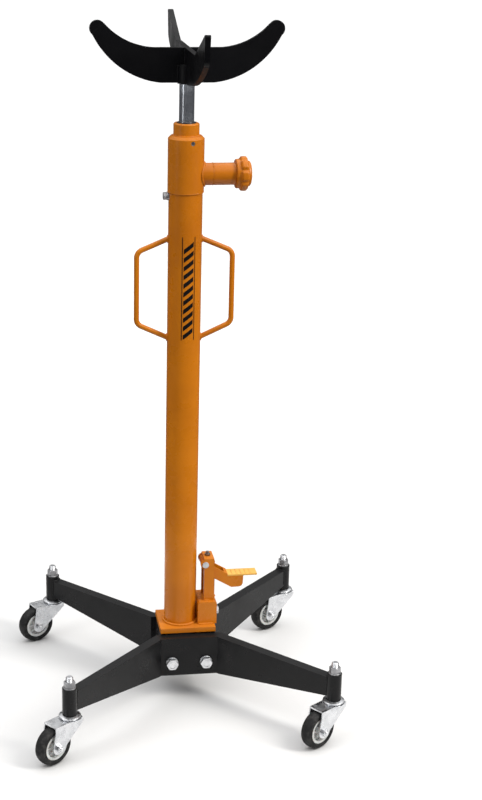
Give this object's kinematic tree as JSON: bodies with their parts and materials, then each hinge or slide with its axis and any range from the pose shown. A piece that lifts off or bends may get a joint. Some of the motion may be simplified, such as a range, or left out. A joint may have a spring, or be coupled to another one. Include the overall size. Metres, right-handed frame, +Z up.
{
  "type": "transmission jack",
  "caption": "Hydraulic column transmission jack: orange column, black cross saddle, foot pump, bent-rod handles and a black four-leg base on swivel casters.",
  "frame": {"origin": "on the floor, directly below the ram axis", "axes": "+Z up along the ram; -Y the front; +X towards the release knob and the foot pedal"},
  "size_m": [0.6009, 0.5815, 1.3276],
  "materials": {
    "orange_paint": "gloss",
    "pedal_paint": "satin",
    "black_paint": "semi-gloss",
    "saddle_black": "satin",
    "rod_chrome": "polished",
    "zinc": "zinc plated",
    "machined_steel": "machined",
    "spring_steel": "drawn wire",
    "bush_brass": "machined",
    "seal_rubber": "smooth",
    "tyre": "matt",
    "wheel_hub": "moulded"
  },
  "bodies": {
    "frame": {"base_plate": "orange_paint", "base_side_plates": "black_paint", "tie_tubes": "machined_steel", "front_leg_beam": "black_paint", "rear_leg_beam": "black_paint", "leg_sleeves": "black_paint", "leg_bolts": "zinc", "leg_bolt_nuts": "zinc", "column_tube": "orange_paint", "head_sleeve": "orange_paint", "gland_collar": "orange_paint", "rod_guide_bush": "bush_brass", "rod_wiper": "seal_rubber", "pressure_cylinder": "machined_steel", "cylinder_foot": "machined_steel", "left_handle": "orange_paint", "right_handle": "orange_paint", "filler_plug": "zinc", "head_set_screw": "machined_steel", "release_stub": "orange_paint", "release_body": "orange_paint", "pump_body": "orange_paint", "pump_cylinder": "orange_paint", "pump_gland_nut": "zinc", "pump_bracket": "orange_paint", "pedal_pivot_pin": "zinc", "pedal_stop_screw": "machined_steel", "check_valve_plugs": "zinc", "caster_stems": "zinc", "caster_stem_nuts": "zinc"},
    "ram": {"ram_rod": "rod_chrome", "ram_piston": "machined_steel", "piston_seals": "seal_rubber"},
    "saddle": {"saddle_hub": "saddle_black", "saddle_side_plate": "saddle_black", "saddle_long_plate": "saddle_black", "saddle_screw": "machined_steel"},
    "pedal": {"pedal_lever": "orange_paint", "pedal_pad": "pedal_paint"},
    "plunger": {"pump_plunger": "rod_chrome", "plunger_spring": "spring_steel"},
    "knob": {"release_knob": "orange_paint", "release_spindle": "zinc"},
    "fl_caster": {"fl_fork": "zinc", "fl_axle": "zinc"},
    "fl_wheel": {"fl_wheel_hub": "wheel_hub", "fl_tyre": "tyre"},
    "fr_caster": {"fr_fork": "zinc", "fr_axle": "zinc"},
    "fr_wheel": {"fr_wheel_hub": "wheel_hub", "fr_tyre": "tyre"},
    "rl_caster": {"rl_fork": "zinc", "rl_axle": "zinc"},
    "rl_wheel": {"rl_wheel_hub": "wheel_hub", "rl_tyre": "tyre"},
    "rr_caster": {"rr_fork": "zinc", "rr_axle": "zinc"},
    "rr_wheel": {"rr_wheel_hub": "wheel_hub", "rr_tyre": "tyre"}
  },
  "joints": [
    {"name": "ram_lift", "type": "slide", "parent": "frame", "child": "ram", "axis": [0, 0, 1], "range_m": [0, 0.82]},
    {"name": "saddle_swivel", "type": "hinge", "parent": "ram", "child": "saddle", "pos_m": [0, 0, 1.228], "axis": [0, 0, 1], "continuous": true},
    {"name": "release_turn", "type": "hinge", "parent": "frame", "child": "knob", "pos_m": [0.0923, 0, 1.049], "axis": [1, 0, 0], "range_deg": [0, 360]},
    {"name": "pedal_press", "type": "hinge", "parent": "frame", "child": "pedal", "pos_m": [0.0475, 0, 0.271], "axis": [0, 1, 0], "range_deg": [0, 24], "stiffness_Nm_per_rad": 1.2, "springref_deg": -28.65},
    {"name": "plunger_stroke", "type": "slide", "parent": "frame", "child": "plunger", "axis": [0, 0, -1], "range_m": [0, 0.0059], "deforming": ["plunger_spring"]},
    {"name": "fl_swivel", "type": "hinge", "parent": "frame", "child": "fl_caster", "pos_m": [-0.24, -0.251, 0.08], "axis": [0, 0, 1], "continuous": true},
    {"name": "fl_roll", "type": "hinge", "parent": "fl_caster", "child": "fl_wheel", "pos_m": [-0.2731, -0.27686, 0.0375], "axis": [0.6157, -0.788, 0], "continuous": true},
    {"name": "fr_swivel", "type": "hinge", "parent": "frame", "child": "fr_caster", "pos_m": [0.262, -0.251, 0.08], "axis": [0, 0, 1], "continuous": true},
    {"name": "fr_roll", "type": "hinge", "parent": "fr_caster", "child": "fr_wheel", "pos_m": [0.2276, -0.27509, 0.0375], "axis": [0.5736, -0.8192, 0], "continuous": true},
    {"name": "rl_swivel", "type": "hinge", "parent": "frame", "child": "rl_caster", "pos_m": [-0.24, 0.251, 0.08], "axis": [0, 0, 1], "continuous": true},
    {"name": "rl_roll", "type": "hinge", "parent": "rl_caster", "child": "rl_wheel", "pos_m": [-0.27807, 0.23325, 0.0375], "axis": [0.4226, -0.9063, 0], "continuous": true},
    {"name": "rr_swivel", "type": "hinge", "parent": "frame", "child": "rr_caster", "pos_m": [0.262, 0.251, 0.08], "axis": [0, 0, 1], "continuous": true},
    {"name": "rr_roll", "type": "hinge", "parent": "rr_caster", "child": "rr_wheel", "pos_m": [0.22458, 0.23193, 0.0375], "axis": [0.454, -0.891, 0], "continuous": true}
  ],
  "couplings": [
    {"joint": "plunger_stroke", "follows": "pedal_press", "m_per_rad": 0.014}
  ]
}
